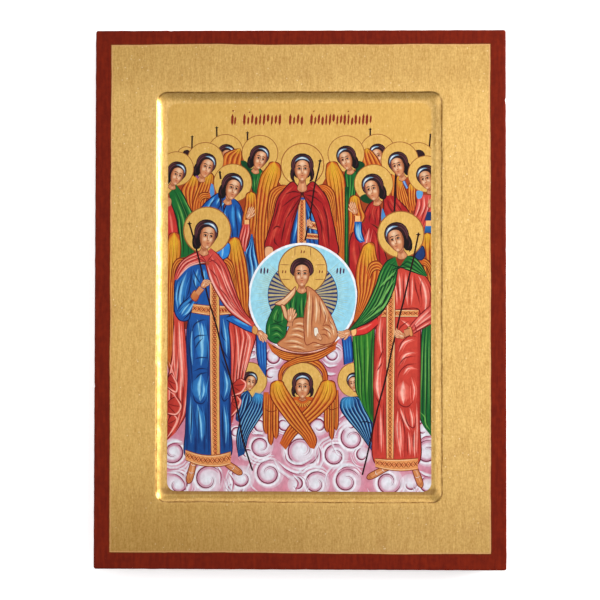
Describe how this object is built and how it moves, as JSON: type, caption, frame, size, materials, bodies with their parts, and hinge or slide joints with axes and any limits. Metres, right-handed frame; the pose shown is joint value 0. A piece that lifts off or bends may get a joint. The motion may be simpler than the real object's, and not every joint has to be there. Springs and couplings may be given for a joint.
{
  "type": "icon panel",
  "caption": "Gilded wooden icon panel with a raised border, a dark red rim and a sunken painted field of winged, haloed figures on clouds.",
  "frame": {"origin": "middle of the flat back, which lies on the surface", "axes": "+X to the right across the panel, +Y up the picture, +Z out of the painted face"},
  "size_m": [0.19, 0.249, 0.018],
  "materials": {
    "gold_leaf": "gold leaf on a gessoed cloth ground over solid wood",
    "painting": "satin tempera paint and gold leaf on the board's sunken field"
  },
  "bodies": {
    "root": {"panel": "gold_leaf"}
  },
  "joints": []
}
